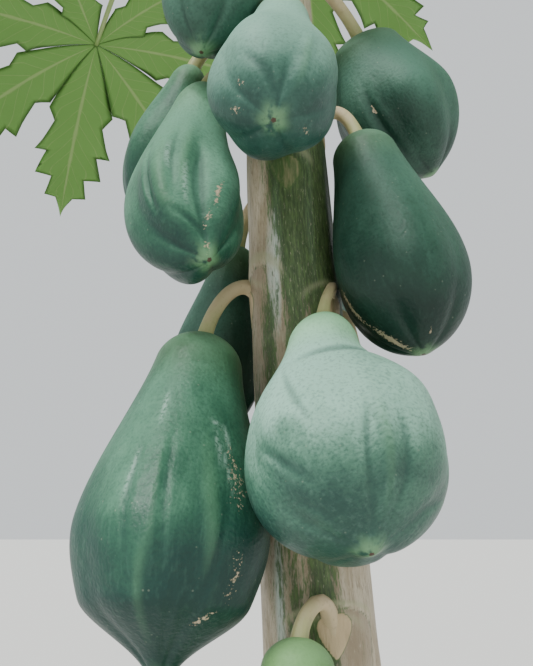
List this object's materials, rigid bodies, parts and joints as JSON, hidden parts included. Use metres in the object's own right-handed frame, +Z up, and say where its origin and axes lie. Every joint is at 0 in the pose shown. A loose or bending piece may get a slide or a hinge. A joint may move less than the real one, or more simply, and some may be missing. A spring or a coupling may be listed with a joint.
{
  "type": "papaya tree",
  "caption": "Rooted papaya tree: an unbranched tapering trunk with green fruits hanging from it on short stalks, under a crown of large lobed leaves.",
  "frame": {"origin": "centre of the flat cut under the trunk, at ground level", "axes": "+Z up along the trunk, -Y the front that the picture shows, +X to the picture's right"},
  "size_m": [2.1024, 2.0798, 3.0086],
  "materials": {
    "trunk": "smooth green and grey bark",
    "fruit": "waxy green skin",
    "leaf": "matt green blade"
  },
  "bodies": {
    "root": {"trunk": "trunk", "fruit_front": "fruit", "fruit_low_left": "fruit", "fruit_top_centre": "fruit", "fruit_top_left": "fruit", "fruit_left": "fruit", "fruit_left_behind": "fruit", "fruit_right": "fruit", "fruit_bottom": "fruit", "fruit_dark_behind": "fruit", "fruit_right_behind": "fruit", "fruit_top_right": "fruit", "fruit_far_01": "fruit", "fruit_far_02": "fruit", "fruit_far_03": "fruit", "fruit_far_04": "fruit", "fruit_young_01": "fruit", "fruit_young_02": "fruit", "fruit_young_03": "fruit", "fruit_young_04": "fruit", "fruit_young_05": "fruit", "fruit_young_06": "fruit", "fruit_young_07": "fruit", "fruit_young_08": "fruit", "leaf_01": "leaf", "leaf_02": "leaf", "leaf_03": "leaf", "leaf_04": "leaf", "leaf_05": "leaf", "leaf_06": "leaf", "leaf_07": "leaf", "leaf_08": "leaf", "leaf_09": "leaf", "leaf_10": "leaf", "leaf_11": "leaf", "leaf_12": "leaf", "leaf_13": "leaf", "leaf_14": "leaf", "leaf_15": "leaf", "leaf_16": "leaf", "leaf_17": "leaf", "leaf_18": "leaf", "leaf_19": "leaf", "leaf_20": "leaf", "leaf_21": "leaf", "leaf_22": "leaf", "leaf_23": "leaf", "leaf_24": "leaf", "leaf_25": "leaf", "leaf_26": "leaf", "leaf_27": "leaf", "leaf_28": "leaf"}
  },
  "joints": []
}
